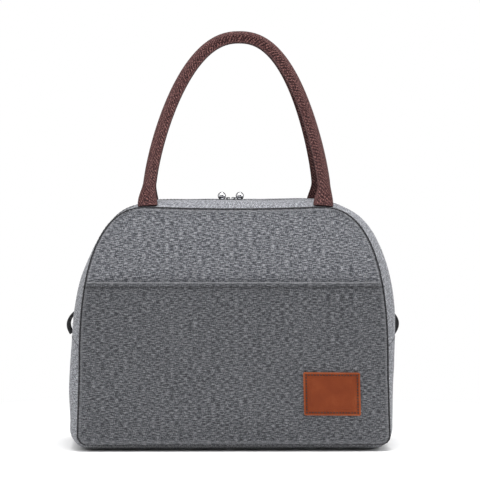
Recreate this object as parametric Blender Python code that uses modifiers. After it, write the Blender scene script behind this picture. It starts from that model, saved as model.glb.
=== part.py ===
import math

import bmesh
import bpy
from mathutils import Vector

MM = 0.001

# Body outline at the front and rear seams: (flat half width, full half width, crown height,
# height where the arch begins, arch exponent, base corner radius, base height), in mm.
SEAM_OUTLINE = (70.0, 129.4, 206.0, 65.0, 2.6, 8.0, 4.5)
# The same outline at mid depth, where the gusset bulges out.
MIDDLE_OUTLINE = (66.0, 140.0, 210.5, 70.0, 2.3, 15.0, 0.0)
BASE_NARROWING = 0.6  # how far the sides run out again below the arch
HALF_DEPTH = 80.0
RING_HALF_DEPTH = 78.7  # the gusset stops just behind the front and rear panels
SEAM_ROUNDING = 0.35  # share of the half depth over which the gusset rounds to a seam

FABRIC = 1.0
FOAM = 5.0
LINER = 0.6
GAP = 0.3
BOARD = 2.0

FLAP_END = 0.91  # where the opening part of the zip strip ends, along the flat of the crown
FLAP_SLIT = 0.01  # the cut between the opening part and the fixed part of the strip
ZIP_END = 1.865  # where the zip strips meet the side panels, along the arch
SIDE_END = 3.55  # where the side panels meet the base panel, round the bottom corner
TAPE_SHORT = 0.03  # how far the tapes, then the teeth, stop before the zip's end
TEETH_SHORT = 0.07
COVER_EDGE = 7.5
TAPE_INNER = 2.9
TAPE_OUTER = 9.8
TEETH_INNER = 0.9
TEETH_OUTER = 2.6
FOAM_EDGE = 10.3
TAPE_DEPTH = (3.2, 3.8)
TEETH_DEPTH = (2.5, 4.5)

POCKET_TOP = 138.5
POCKET_BULGE = 6.8
POCKET_CLOTH = 1.2
POCKET_FOOT = 6.0
POCKET_RISE = 30.0  # height over which the pocket comes to its full bulge
POCKET_SIDE_IN = 1.2
PATCH_CENTRE = (82.0, 45.0)
PATCH_SIZE = (47.5, 36.0)
PATCH_THICKNESS = 1.6
TAB_LENGTH = 0.115
TAB_HALF_WIDTH = 11.0
TAB_THICKNESS = 3.1
BINDING_INSET = 12.5
BINDING_RADIUS = 1.4
BINDING_BACK = 2.2  # how far the bindings stand in from the liner's edge

SLIDER_MEET = -1.3
SLIDER_LENGTH = 9.5
SLIDER_HALF_WIDTH = 4.6
PLATE = 0.9
POST = (6.0, 8.8, 0.55)  # start, end and half width of the slider's post
BRIDGE_LEGS = ((0.35, 0.95), (2.85, 3.45))
BRIDGE_HALF_WIDTH = 0.7
BRIDGE_RISE = 2.9
BRIDGE_BAR = 0.8
BALL_RADIUS = 3.5
BALL_REACH = 7.4
PIN_REACH = 1.9
PIN_RADIUS = 0.5
PIN_RISE = 1.15
PIN_HALF_LENGTH = 2.0
ARM_OUT = 1.55

HANDLE_HEIGHT = 206.6
HANDLE_LEAN = 26.9
HANDLE_HALF_WIDTH = 75.5
HANDLE_REACH = 164.0
HANDLE_START = 10.5
HANDLE_POWER = 1.6
HANDLE_ROUNDNESS = 0.54
WEBBING_RADIUS = 5.2
BORE_RADIUS = 3.8
ROPE_RADIUS = 3.4
LIP_INNER = 9.6
LIP_HALF_THICKNESS = 1.1
ANCHOR_CENTRE = 74.2
FOOT_HALF_WIDTH = 8.3
FOOT_HALF_THICKNESS = 1.3
FOOT_SPAN = (0.5, 8.9)
FOOT_NECK = (0.72, 1.5)  # the foot's width and thickness at its top, as shares of those below


def clear_scene():
    for obj in list(bpy.data.objects):
        bpy.data.objects.remove(obj, do_unlink=True)


def new_collection(name):
    made = bpy.data.collections.new(name)
    bpy.context.scene.collection.children.link(made)
    return made


clear_scene()
part = new_collection("lunch_box")
cutters = new_collection("cutters")


def material(name, colour, roughness=0.85, metallic=0.0):
    made = bpy.data.materials.new(name)
    made.use_nodes = True
    shader = made.node_tree.nodes["Principled BSDF"]
    shader.inputs["Base Color"].default_value = (*colour, 1.0)
    shader.inputs["Roughness"].default_value = roughness
    shader.inputs["Metallic"].default_value = metallic
    return made


LOOKS = {
    "cloth": ((0.31, 0.31, 0.34), 0.9, 0.0),
    "foam": ((0.9, 0.9, 0.88), 0.95, 0.0),
    "liner": ((0.72, 0.73, 0.75), 0.35, 0.6),
    "board": ((0.2, 0.2, 0.2), 0.7, 0.0),
    "tape": ((0.02, 0.02, 0.022), 0.9, 0.0),
    "teeth": ((0.03, 0.03, 0.033), 0.4, 0.0),
    "chrome": ((0.8, 0.8, 0.82), 0.12, 1.0),
    "leather": ((0.22, 0.055, 0.018), 0.6, 0.0),
    "webbing": ((0.06, 0.022, 0.02), 0.8, 0.0),
    "rope": ((0.75, 0.7, 0.6), 0.9, 0.0),
    "binding": ((0.05, 0.05, 0.055), 0.9, 0.0),
}


def add_object(name, data, look, collection=part):
    obj = bpy.data.objects.new(name, data)
    collection.objects.link(obj)
    if look is None:
        obj.hide_render = True
        obj.display_type = "WIRE"
    else:
        data.materials.append(material(name, *LOOKS[look]))
    return obj


def outline_half(shape):
    """Right half of an outline, from the crown to the base, as five runs of (x, z) points."""
    flat, wide, top, spring, power, corner, base = shape
    steps = 200
    arch = []
    for i in range(steps + 1):
        turn = math.pi / 2 * i / steps
        x = flat + (wide - flat) * math.sin(turn) ** (2 / power)
        z = spring + (top - spring) * max(0.0, math.cos(turn)) ** (2 / power)
        arch.append((x, z))
    foot = wide + BASE_NARROWING
    bend = []
    for i in range(steps + 1):
        turn = math.pi / 2 * i / steps
        x = foot - corner + corner * math.cos(turn)
        z = base + corner - corner * math.sin(turn)
        bend.append((x, z))
    return [
        [(0.0, top), (flat, top)],
        arch,
        [(wide, spring), (foot, base + corner)],
        bend,
        [(foot - corner, base), (0.0, base)],
    ]


def along(run, share):
    """The point this share of the way along a run of points, by length."""
    lengths = [math.dist(a, b) for a, b in zip(run, run[1:])]
    left = share * sum(lengths)
    for (a, b), length in zip(zip(run, run[1:]), lengths):
        if left <= length or (b == run[-1]):
            k = min(1.0, left / length) if length else 0.0
            return (a[0] + (b[0] - a[0]) * k, a[1] + (b[1] - a[1]) * k)
        left -= length
    return run[-1]


SEAM_RUNS = outline_half(SEAM_OUTLINE)
MIDDLE_RUNS = outline_half(MIDDLE_OUTLINE)


def outline_point(runs, place):
    """Place 0 is the crown's middle, 5 the base's middle; 5 to 10 run back up the left side."""
    place = place % 10
    left = place > 5
    if left:
        place = 10 - place
    run = min(4, int(place))
    x, z = along(runs[run], place - run)
    return (-x if left else x, z)


def fullness(depth):
    """How far the gusset has swelled from the seam outline to the middle one."""
    share = min(1.0, (1 - min(1.0, abs(depth) / RING_HALF_DEPTH)) / SEAM_ROUNDING)
    return math.sin(share * math.pi / 2)


def ring_point(place, depth):
    seam = outline_point(SEAM_RUNS, place)
    middle = outline_point(MIDDLE_RUNS, place)
    k = fullness(depth)
    x = seam[0] + (middle[0] - seam[0]) * k
    z = seam[1] + (middle[1] - seam[1]) * k
    return Vector((x, depth, z)) * MM


def steps_between(start, end, count):
    return [start + (end - start) * i / count for i in range(count + 1)]


def solidify(obj, outer, inner):
    """Fills between two depths below the surface, both in mm. Depth runs against the normals."""
    modifier = obj.modifiers.new("shell", "SOLIDIFY")
    thickness = inner - outer
    modifier.thickness = thickness * MM
    modifier.offset = 1 - 2 * inner / thickness
    modifier.use_even_offset = True


def surface(name, look, points_at, columns, rows, outer, inner, keep=None):
    """An open grid of faces with a shell on it. points_at gives the surface point of a cell corner."""
    mesh = bpy.data.meshes.new(name)
    build = bmesh.new()
    corners = {}

    def corner(i, j):
        if (i, j) not in corners:
            corners[i, j] = build.verts.new(points_at(columns[i], rows[j]))
        return corners[i, j]

    for i in range(len(columns) - 1):
        for j in range(len(rows) - 1):
            middle = ((columns[i] + columns[i + 1]) / 2, (rows[j] + rows[j + 1]) / 2)
            if keep and not keep(*middle):
                continue
            face = (corner(i, j), corner(i, j + 1), corner(i + 1, j + 1), corner(i + 1, j))
            build.faces.new(face).smooth = True
    build.normal_update()
    build.to_mesh(mesh)
    build.free()
    obj = add_object(name, mesh, look)
    solidify(obj, outer, inner)
    return obj


def ring_piece(name, look, places, depths, outer, inner, keep=None):
    return surface(name, look, lambda u, v: ring_point(u, -v), places, depths, outer, inner, keep)


def outline_curve(name, look, inset, front, back):
    """A flat sheet the shape of the front seam, drawn in by inset, between two depths."""
    places = steps_between(0.0, 1.0, 2) + steps_between(1.0, 2.0, 14)[1:]
    places += steps_between(2.0, 3.0, 2)[1:] + steps_between(3.0, 4.0, 5)[1:] + [4.5, 5.0]
    places += [10 - p for p in reversed(places[1:-1])]
    curve = bpy.data.curves.new(name, "CURVE")
    curve.dimensions = "2D"
    curve.fill_mode = "BOTH"
    spline = curve.splines.new("POLY")
    spline.points.add(len(places) - 1)
    spline.use_cyclic_u = True
    for point, place in zip(spline.points, places):
        x, z = inset_point(place, inset)
        point.co = (x * MM, z * MM, 0.0, 1.0)
    curve.extrude = abs(back - front) / 2 * MM
    obj = add_object(name, curve, look)
    obj.rotation_euler = (math.pi / 2, 0.0, 0.0)
    obj.location = (0.0, (front + back) / 2 * MM, 0.0)
    return obj


def inset_point(place, inset):
    x, z = outline_point(SEAM_RUNS, place)
    before = Vector(outline_point(SEAM_RUNS, place - 0.01))
    after = Vector(outline_point(SEAM_RUNS, place + 0.01))
    way = (after - before).normalized()
    return x + way.y * inset, z - way.x * inset


def as_mesh(obj):
    """A curve object's mesh in world space, as a new mesh object's data."""
    bpy.context.view_layer.update()
    graph = bpy.context.evaluated_depsgraph_get()
    mesh = bpy.data.meshes.new_from_object(obj.evaluated_get(graph))
    build = bmesh.new()
    build.from_mesh(mesh)
    bmesh.ops.remove_doubles(build, verts=build.verts, dist=1e-6)
    bmesh.ops.recalc_face_normals(build, faces=build.faces)
    build.to_mesh(mesh)
    build.free()
    bpy.data.objects.remove(obj, do_unlink=True)
    return mesh


def tube_curve(name, points, radius, resolution, look, closed=False):
    curve = bpy.data.curves.new(name, "CURVE")
    curve.dimensions = "3D"
    curve.bevel_depth = radius * MM
    curve.bevel_resolution = resolution
    curve.use_fill_caps = True
    spline = curve.splines.new("POLY")
    spline.points.add(len(points) - 1)
    spline.use_cyclic_u = closed
    for point, at in zip(spline.points, points):
        point.co = (*at, 1.0)
    spline.use_smooth = True
    return add_object(name, curve, look, part if look else cutters)


def boolean(obj, other, operation):
    modifier = obj.modifiers.new(operation.lower(), "BOOLEAN")
    modifier.operation = operation
    modifier.solver = "EXACT"
    modifier.object = other


def shade_round(mesh):
    for face in mesh.polygons:
        face.use_smooth = True


def block(build, low, high):
    """Adds a box between two corners, in mm."""
    made = bmesh.ops.create_cube(build, size=1.0)["verts"]
    middle = (Vector(low) + Vector(high)) / 2
    size = Vector(high) - Vector(low)
    bmesh.ops.scale(build, vec=size * MM, verts=made)
    bmesh.ops.translate(build, vec=middle * MM, verts=made)
    return made


def block_object(name, low, high, look, collection):
    mesh = bpy.data.meshes.new(name)
    build = bmesh.new()
    block(build, low, high)
    build.to_mesh(mesh)
    build.free()
    return add_object(name, mesh, look, collection)


# Front and rear panels, from the outside in.
def panel_stack(side, word):
    def layer(name, look, inset, outside, thickness):
        outer = side * (HALF_DEPTH - outside)
        inner = side * (HALF_DEPTH - outside - thickness)
        outline_curve(name, look, inset, outer, inner)

    foam_depth = FABRIC + GAP
    liner_depth = foam_depth + FOAM + GAP
    layer(word + "_panel", "cloth", 0.0, 0.0, FABRIC)
    layer(word + "_foam", "foam", 1.6, foam_depth, FOAM)
    layer(word + "_liner", "liner", 7.2, liner_depth, LINER)


panel_stack(-1, "front")
panel_stack(1, "back")

foam_from = FABRIC + GAP
foam_to = foam_from + FOAM
liner_from = foam_to + 2 * GAP
liner_to = liner_from + LINER
foam_reach = RING_HALF_DEPTH - FOAM - GAP
liner_reach = foam_reach - GAP - LINER - 0.2

half_depths = steps_between(COVER_EDGE, RING_HALF_DEPTH * (1 - SEAM_ROUNDING), 2)
half_depths += steps_between(RING_HALF_DEPTH * (1 - SEAM_ROUNDING), RING_HALF_DEPTH, 5)[1:]
inner_depths = steps_between(FOAM_EDGE, RING_HALF_DEPTH * (1 - SEAM_ROUNDING), 2)
inner_depths += steps_between(RING_HALF_DEPTH * (1 - SEAM_ROUNDING), foam_reach, 4)[1:]
liner_depths = inner_depths[:-1] + [liner_reach]


def mirrored(depths):
    return [-d for d in reversed(depths)]


flap_places = steps_between(-FLAP_END, FLAP_END, 4)
shoulder_places = [FLAP_END + FLAP_SLIT, 1.0] + steps_between(1.0, ZIP_END, 10)[1:]
lower_places = steps_between(ZIP_END + 0.005, 2.0, 2) + [2.5, 3.0]
lower_places += steps_between(3.0, SIDE_END, 3)[1:]


# The two halves of the crown that lift as the zip opens.
def flap(word, depths, foams, liners, near, far):
    ring_piece(word + "_flap_cover", "cloth", flap_places, depths, 0.0, FABRIC)
    ring_piece(word + "_flap_foam", "foam", flap_places, foams, foam_from, foam_to)
    ring_piece(word + "_flap_liner", "liner", flap_places, liners, liner_from, liner_to)
    ring_piece(word + "_flap_tape", "tape", flap_places, near, *TAPE_DEPTH)
    ring_piece(word + "_flap_teeth", "teeth", flap_places, far, *TEETH_DEPTH)


tape_depths = [TAPE_INNER, TAPE_OUTER]
teeth_depths = [TEETH_INNER, TEETH_OUTER]
flap("front", half_depths, inner_depths, liner_depths, tape_depths, teeth_depths)
flap(
    "rear",
    mirrored(half_depths),
    mirrored(inner_depths),
    mirrored(liner_depths),
    mirrored(tape_depths),
    mirrored(teeth_depths),
)


# The zip strips over the shoulders, down to the zip's ends on the sides.
def left_of(places):
    return [-p for p in reversed(places)]


tape_end = ZIP_END - TAPE_SHORT
teeth_end = ZIP_END - TEETH_SHORT
tape_places = [p for p in shoulder_places if p < tape_end] + [tape_end]
teeth_places = [p for p in shoulder_places if p < teeth_end] + [teeth_end]
for side, turn in (("right", lambda p: p), ("left", left_of)):
    for word, flip in (("front", lambda d: d), ("rear", mirrored)):
        name = f"{word}_{side}_zip"
        ring_piece(name + "_cover", "cloth", turn(shoulder_places), flip(half_depths), 0.0, FABRIC)
        ring_piece(name + "_tape", "tape", turn(tape_places), flip(tape_depths), *TAPE_DEPTH)
        ring_piece(name + "_teeth", "teeth", turn(teeth_places), flip(teeth_depths), *TEETH_DEPTH)

full_depths = mirrored(half_depths) + half_depths
full_foams = mirrored(inner_depths) + inner_depths
full_liners = mirrored(liner_depths) + liner_depths


# The gusset's foam and liner are forked round the zip.
def fork(place, depth):
    return abs(place) > ZIP_END or abs(depth) > FOAM_EDGE


fork_places = shoulder_places + lower_places[1:]
foam_places = fork_places[:-1] + [3.6, 3.9]
lining_places = fork_places[:-1]
for side, turn in (("right", lambda p: p), ("left", left_of)):
    ring_piece(side + "_side_panel", "cloth", turn(lower_places), full_depths, 0.0, FABRIC)
    foams = turn(foam_places)
    ring_piece(side + "_gusset_foam", "foam", foams, full_foams, foam_from, foam_to, fork)
    linings = turn(lining_places)
    ring_piece(side + "_gusset_liner", "liner", linings, full_liners, liner_from, liner_to, fork)

# The base, with its stiffening board between cloth and foam.
bend = steps_between(SIDE_END + 0.02, 4.0, 3)
base_places = bend + [4.5, 5.0, 5.5] + [10 - p for p in reversed(bend)]
flat_places = [4.06, 4.5, 5.0, 5.5, 5.94]
ring_piece("base_panel", "cloth", base_places, full_depths, 0.0, FABRIC)
board_from = FABRIC + GAP
board_to = board_from + BOARD
ring_piece("base_board", "board", flat_places, full_foams, board_from, board_to)
base_foam_from = board_to + GAP
base_foam_to = base_foam_from + FOAM
ring_piece("base_foam", "foam", flat_places, full_foams, base_foam_from, base_foam_to)
base_liner_from = base_foam_to + GAP
flat_inner = [4.12, 4.5, 5.0, 5.5, 5.88]
base_liner_to = base_liner_from + LINER
ring_piece("base_liner", "liner", flat_inner, full_liners, base_liner_from, base_liner_to)


# The tape bound over the raw edges of the front and rear seams, inside the bag.
def binding(name, depth):
    places = steps_between(0.0, 1.0, 3) + steps_between(1.0, 2.0, 10)[1:]
    places += steps_between(2.0, 3.0, 2)[1:] + [4.0, 5.0]
    places += [10 - p for p in reversed(places[1:-1])]
    points = []
    for place in places:
        x, z = inset_point(place, BINDING_INSET)
        points.append((x * MM, depth * MM, z * MM))
    tube_curve(name, points, BINDING_RADIUS, 1, "binding", closed=True)


binding("front_seam_binding", -(liner_reach - BINDING_BACK))
binding("rear_seam_binding", liner_reach - BINDING_BACK)


# The slip pocket, with room behind it, and the patch that lies on it.
def seam_half_width(height):
    flat, wide, top, spring, power, corner, base = SEAM_OUTLINE
    foot = wide + BASE_NARROWING
    if height < base + corner:
        drop = base + corner - height
        return foot - corner + math.sqrt(max(0.0, corner**2 - drop**2))
    if height < spring:
        return foot + (wide - foot) * (height - base - corner) / (spring - base - corner)
    rise = (height - spring) / (top - spring)
    return flat + (wide - flat) * (1 - rise**power) ** (1 / power)


def pocket_point(x, height):
    across = min(1.0, abs(x) / (seam_half_width(height) - POCKET_SIDE_IN))
    up = min(1.0, max(0.0, height - POCKET_FOOT) / POCKET_RISE)
    swell = POCKET_BULGE * (1 - across**6) * math.sin(up * math.pi / 2)
    return Vector((x, -HALF_DEPTH - GAP - swell, height)) * MM


def pocket_grid(across, height):
    return pocket_point(across * (seam_half_width(height) - POCKET_SIDE_IN), height)


across_steps = [1.0, 0.93, 0.84, 0.7, 0.5, 0.2, -0.2, -0.5, -0.7, -0.84, -0.93, -1.0]
heights = [POCKET_FOOT, 9.0, 13.0, 20.0, 28.0, 36.0, 70.0, 104.0, POCKET_TOP]
surface("front_pocket_panel", "cloth", pocket_grid, across_steps, heights, -POCKET_CLOTH, 0.0)


def patch_point(across, up):
    return pocket_point(PATCH_CENTRE[0] + across, PATCH_CENTRE[1] + up)


patch_columns = steps_between(PATCH_SIZE[0] / 2, -PATCH_SIZE[0] / 2, 6)
patch_rows = steps_between(-PATCH_SIZE[1] / 2, PATCH_SIZE[1] / 2, 4)
patch_from = POCKET_CLOTH + GAP
patch_depths = (-patch_from - PATCH_THICKNESS, -patch_from)
surface("leather_patch", "leather", patch_point, patch_columns, patch_rows, *patch_depths)

# The folded tabs over the zip's ends, and the stops under them.
tab_end = ZIP_END + 0.005
tab_places = steps_between(tab_end - TAB_LENGTH, tab_end, 3)
tab_depths = [-TAB_HALF_WIDTH, -4.0, 4.0, TAB_HALF_WIDTH]
stop_places = [ZIP_END - 0.055, ZIP_END - 0.035]
stop_depths = [-2.6, 0.0, 2.6]
for side, turn in (("right", lambda p: p), ("left", left_of)):
    ring_piece(side + "_zip_tab", "tape", turn(tab_places), tab_depths, -TAB_THICKNESS - GAP, -GAP)
    ring_piece(side + "_zip_stop", "chrome", turn(stop_places), stop_depths, 1.4, 3.0)

crown = MIDDLE_OUTLINE[2]
teeth_top = crown - TEETH_DEPTH[0]
teeth_bottom = crown - TEETH_DEPTH[1]
plate_low = teeth_top + GAP
plate_high = plate_low + PLATE


def union_of(name, pieces, look, origin):
    """Joins overlapping closed meshes into one body whose origin is on its joint."""
    first, rest = pieces[0], pieces[1:]
    first.name = name
    first.data.name = name
    for other in rest:
        boolean(first, other, "UNION")
    bpy.context.view_layer.update()
    graph = bpy.context.evaluated_depsgraph_get()
    mesh = bpy.data.meshes.new_from_object(first.evaluated_get(graph))
    for piece in pieces:
        bpy.data.objects.remove(piece, do_unlink=True)
    for vertex in mesh.vertices:
        vertex.co -= Vector(origin)
    mesh.materials.clear()
    obj = add_object(name, mesh, look)
    obj.location = origin
    return obj


# Slider: an upper and a lower plate, the post between the tooth rows, and the bridge on top.
def slider(side, way):
    start = SLIDER_MEET + way * 0.3

    def box(name, x0, x1, half, z0, z1):
        ends = sorted((start + way * x0, start + way * x1))
        return block_object(name, (ends[0], -half, z0), (ends[1], half, z1), None, cutters)

    wide = SLIDER_HALF_WIDTH
    low_plate = teeth_bottom - GAP
    leg_low = plate_high - 0.3
    leg_high = plate_high + BRIDGE_RISE
    pieces = [
        box("upper", 0.0, SLIDER_LENGTH, wide, plate_low, plate_high),
        box("lower", 0.2, SLIDER_LENGTH - 0.3, wide - 0.4, low_plate - PLATE, low_plate),
        box("post", *POST, low_plate - 0.3, plate_low + 0.3),
        box("bridge_in", *BRIDGE_LEGS[0], BRIDGE_HALF_WIDTH, leg_low, leg_high),
        box("bridge_out", *BRIDGE_LEGS[1], BRIDGE_HALF_WIDTH, leg_low, leg_high),
        box("bridge_bar", 0.35, 3.45, 0.72, leg_high - BRIDGE_BAR, leg_high + 0.02),
    ]
    return union_of(side + "_slider", pieces, "chrome", (start * MM, 0.0, plate_low * MM))


# Pull: a pin under the bridge, two short arms, and the ball.
def pull(side, way):
    start = SLIDER_MEET + way * 0.3
    pin_x = start + way * PIN_REACH
    pin_z = plate_high + PIN_RISE
    ball_x = start + way * BALL_REACH
    ball_z = plate_high + GAP + BALL_RADIUS
    mesh = bpy.data.meshes.new("ball")
    build = bmesh.new()
    bmesh.ops.create_uvsphere(build, u_segments=18, v_segments=12, radius=BALL_RADIUS * MM)
    bmesh.ops.translate(build, vec=Vector((ball_x, 0.0, ball_z)) * MM, verts=build.verts)
    build.to_mesh(mesh)
    build.free()
    pieces = [add_object("ball", mesh, None, cutters)]
    for half in (-1.0, 1.0):
        ends = [
            Vector((pin_x, half * ARM_OUT, pin_z)) * MM,
            Vector((ball_x - way * 1.6, half * ARM_OUT, ball_z - 0.6)) * MM,
        ]
        arm = tube_curve("arm", ends, PIN_RADIUS, 2, None)
        pieces.append(add_object("arm", as_mesh(arm), None, cutters))
    ends = [Vector((pin_x, y, pin_z)) * MM for y in (-PIN_HALF_LENGTH, PIN_HALF_LENGTH)]
    pin = tube_curve("pin", ends, PIN_RADIUS, 2, None)
    pieces.append(add_object("pin", as_mesh(pin), None, cutters))
    obj = union_of(side + "_pull", pieces, "chrome", (pin_x * MM, 0.0, pin_z * MM))
    shade_round(obj.data)


for side, way in (("right", 1), ("left", -1)):
    slider(side, way)
    pull(side, way)


# Handles. Each is drawn upright in its own plane, with its origin on the seam it turns about.
def arch_half_width(reach):
    rise = min(1.0, reach / HANDLE_REACH)
    return HANDLE_HALF_WIDTH * (1 - rise**HANDLE_POWER) ** HANDLE_ROUNDNESS


def arch_line(start):
    """The arch's centre line as (x, reach), from the left foot over to the right one."""
    count = 15
    first = math.asin(start / HANDLE_REACH)
    right = []
    for i in range(count + 1):
        turn = first + (math.pi / 2 - first) * i / count
        reach = HANDLE_REACH * math.sin(turn)
        right.append((arch_half_width(reach), reach))
    return [(-x, r) for x, r in right] + [(x, r) for x, r in reversed(right[:-1])]


def inward(line, distance):
    """The same line, moved towards the arch's inside."""
    moved = []
    for i, (x, r) in enumerate(line):
        before = Vector(line[max(0, i - 1)])
        after = Vector(line[min(len(line) - 1, i + 1)])
        way = (after - before).normalized()
        moved.append((x + way.y * distance, r - way.x * distance))
    return moved


def handle(word, side):
    lean = math.radians(HANDLE_LEAN) * side
    seat = (0.0, side * (HALF_DEPTH - 0.5) * MM, HANDLE_HEIGHT * MM)
    line = arch_line(HANDLE_START)

    def swept(name, radius, resolution, path, look):
        points = [Vector((x, 0.0, r)) * MM for x, r in path]
        return tube_curve(name, points, radius, resolution, look)

    mesh = as_mesh(swept("sleeve", WEBBING_RADIUS, 3, line, None))
    shade_round(mesh)
    webbing = add_object(word + "_handle_webbing", mesh, "webbing")
    edge = inward(line, WEBBING_RADIUS - 1.0)[1:-1]
    hem = inward(line, LIP_INNER)[1:-1]
    curve = bpy.data.curves.new("lip", "CURVE")
    curve.dimensions = "2D"
    curve.fill_mode = "BOTH"
    curve.extrude = LIP_HALF_THICKNESS * MM
    spline = curve.splines.new("POLY")
    loop = edge + list(reversed(hem))
    spline.points.add(len(loop) - 1)
    spline.use_cyclic_u = True
    for point, (x, r) in zip(spline.points, loop):
        point.co = (x * MM, r * MM, 0.0, 1.0)
    flat = add_object("lip", curve, None, cutters)
    mesh = as_mesh(flat)
    lip = add_object("lip", mesh, None, cutters)
    lip.rotation_euler = (math.pi / 2, 0.0, 0.0)
    rope_line = arch_line(HANDLE_START + 0.4)
    bore_line = arch_line(HANDLE_START - 3.0)
    bore = add_object("bore", as_mesh(swept("bore", BORE_RADIUS, 2, bore_line, None)), None, cutters)
    boolean(webbing, bore, "DIFFERENCE")
    boolean(webbing, lip, "UNION")
    rope = swept(word + "_handle_rope", ROPE_RADIUS, 2, rope_line, "rope")
    for obj in (webbing, lip, bore, rope):
        obj.location = seat
        obj.rotation_euler.x += lean
    for name, way in (("left", -1), ("right", 1)):
        mesh = bpy.data.meshes.new("foot")
        build = bmesh.new()
        wide, thick = FOOT_HALF_WIDTH, FOOT_HALF_THICKNESS
        low, high = FOOT_SPAN
        made = block(build, (-wide, -thick, low), (wide, thick, high))
        for vertex in made:
            if vertex.co.z > (low + high) / 2 * MM:
                vertex.co.x *= FOOT_NECK[0]
                vertex.co.y *= FOOT_NECK[1]
        build.to_mesh(mesh)
        build.free()
        foot = add_object(f"{word}_{name}_handle_foot", mesh, "webbing")
        foot.location = (way * ANCHOR_CENTRE * MM, seat[1], seat[2])
        foot.rotation_euler.x = lean
        bevel = foot.modifiers.new("worn edges", "BEVEL")
        bevel.width = 0.5 * MM
        bevel.segments = 1


handle("front", -1)
handle("rear", 1)
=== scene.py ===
import math
import bpy
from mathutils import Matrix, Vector, noise


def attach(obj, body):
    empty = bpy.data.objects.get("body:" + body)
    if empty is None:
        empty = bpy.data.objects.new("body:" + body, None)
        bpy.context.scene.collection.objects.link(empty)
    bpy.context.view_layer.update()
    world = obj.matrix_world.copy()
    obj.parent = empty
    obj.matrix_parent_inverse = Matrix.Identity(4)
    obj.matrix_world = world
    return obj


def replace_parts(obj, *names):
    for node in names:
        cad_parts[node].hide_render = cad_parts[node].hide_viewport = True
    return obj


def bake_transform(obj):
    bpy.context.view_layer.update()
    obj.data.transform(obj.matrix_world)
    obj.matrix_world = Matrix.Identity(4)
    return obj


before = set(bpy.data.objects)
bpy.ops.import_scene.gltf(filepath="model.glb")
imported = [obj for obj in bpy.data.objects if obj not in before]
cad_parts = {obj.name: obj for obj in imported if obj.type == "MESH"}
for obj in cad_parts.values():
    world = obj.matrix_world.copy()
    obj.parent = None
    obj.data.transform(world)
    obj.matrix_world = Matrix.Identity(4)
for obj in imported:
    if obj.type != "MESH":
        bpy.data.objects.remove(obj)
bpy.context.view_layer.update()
mm = 0.001


def mix(a, b, k):
    return a + (b - a) * k


def smooth(k):
    k = max(0.0, min(1.0, k))
    return k * k * (3 - 2 * k)


def spread(start, end, count):
    return [mix(start, end, i / count) for i in range(count + 1)]


def wobble(x, y, z, size, seed=0.0):
    # gentle folds of this size in mm, from about -1 to 1
    return noise.noise(Vector((x / size + seed, y / size, z / size)))


def nodeTree(name):
    material = bpy.data.materials.new(name)
    material.use_nodes = True
    return material, material.node_tree, material.node_tree.nodes["Principled BSDF"]


def addNode(tree, kind, **values):
    node = tree.nodes.new(kind)
    for key, value in values.items():
        if hasattr(node, key):
            setattr(node, key, value)
        else:
            node.inputs[key].default_value = value
    return node


def link(tree, a, b):
    tree.links.new(a, b)


def ramp(tree, source, stops):
    node = addNode(tree, "ShaderNodeValToRGB")
    while len(node.color_ramp.elements) < len(stops):
        node.color_ramp.elements.new(0.5)
    for element, (place, colour) in zip(node.color_ramp.elements, stops):
        element.position = place
        element.color = (*colour, 1.0)
    link(tree, source, node.inputs["Fac"])
    return node.outputs["Color"]


def stretched(tree, source, scale, detail=2.0, turn=0.0):
    # cloud noise, pulled long by its scale
    mapping = addNode(tree, "ShaderNodeMapping")
    mapping.inputs["Scale"].default_value = scale
    mapping.inputs["Rotation"].default_value = (0.0, 0.0, turn)
    link(tree, source, mapping.inputs["Vector"])
    texture = addNode(tree, "ShaderNodeTexNoise", Scale=1.0, Detail=detail, Roughness=0.55)
    link(tree, mapping.outputs["Vector"], texture.inputs["Vector"])
    return texture.outputs["Fac"]


def mathNode(tree, operation, a, b):
    node = addNode(tree, "ShaderNodeMath", operation=operation)
    for socket, value in zip(node.inputs, (a, b)):
        if isinstance(value, (int, float)):
            socket.default_value = value
        else:
            link(tree, value, socket)
    return node.outputs["Value"]


def weighted(tree, *pairs):
    # adds up values, each times its share
    parts = [mathNode(tree, "MULTIPLY", value, share) for value, share in pairs]
    total = parts[0]
    for part in parts[1:]:
        total = mathNode(tree, "ADD", total, part)
    return total


# one plain weave, shared by the cloth, the tapes, the rope and the liner
def buildWeaveGroup():
    group = bpy.data.node_groups.new("plainWeave", "ShaderNodeTree")
    group.interface.new_socket("Vector", in_out="INPUT", socket_type="NodeSocketVector")
    count = group.interface.new_socket("Threads", in_out="INPUT", socket_type="NodeSocketFloat")
    count.default_value = 1500.0
    group.interface.new_socket("Height", in_out="OUTPUT", socket_type="NodeSocketFloat")
    start = group.nodes.new("NodeGroupInput")
    end = group.nodes.new("NodeGroupOutput")
    scaled = addNode(group, "ShaderNodeVectorMath", operation="SCALE")
    link(group, start.outputs["Vector"], scaled.inputs[0])
    link(group, start.outputs["Threads"], scaled.inputs["Scale"])
    parts = addNode(group, "ShaderNodeSeparateXYZ")
    link(group, scaled.outputs["Vector"], parts.inputs["Vector"])
    warp = mathNode(group, "SINE", mathNode(group, "MULTIPLY", parts.outputs["X"], math.pi), 0.0)
    weft = mathNode(group, "SINE", mathNode(group, "MULTIPLY", parts.outputs["Y"], math.pi), 0.0)
    over = mathNode(group, "MULTIPLY", warp, weft)
    height = mathNode(group, "ADD", mathNode(group, "MULTIPLY", over, 0.5), 0.5)
    link(group, height, end.inputs["Height"])
    return group


weaveGroup = buildWeaveGroup()


def weave(tree, source, threads):
    node = addNode(tree, "ShaderNodeGroup", node_tree=weaveGroup)
    node.inputs["Threads"].default_value = threads
    link(tree, source, node.inputs["Vector"])
    return node.outputs["Height"]


def uvSource(tree):
    return addNode(tree, "ShaderNodeUVMap", uv_map="flat").outputs["UV"]


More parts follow.
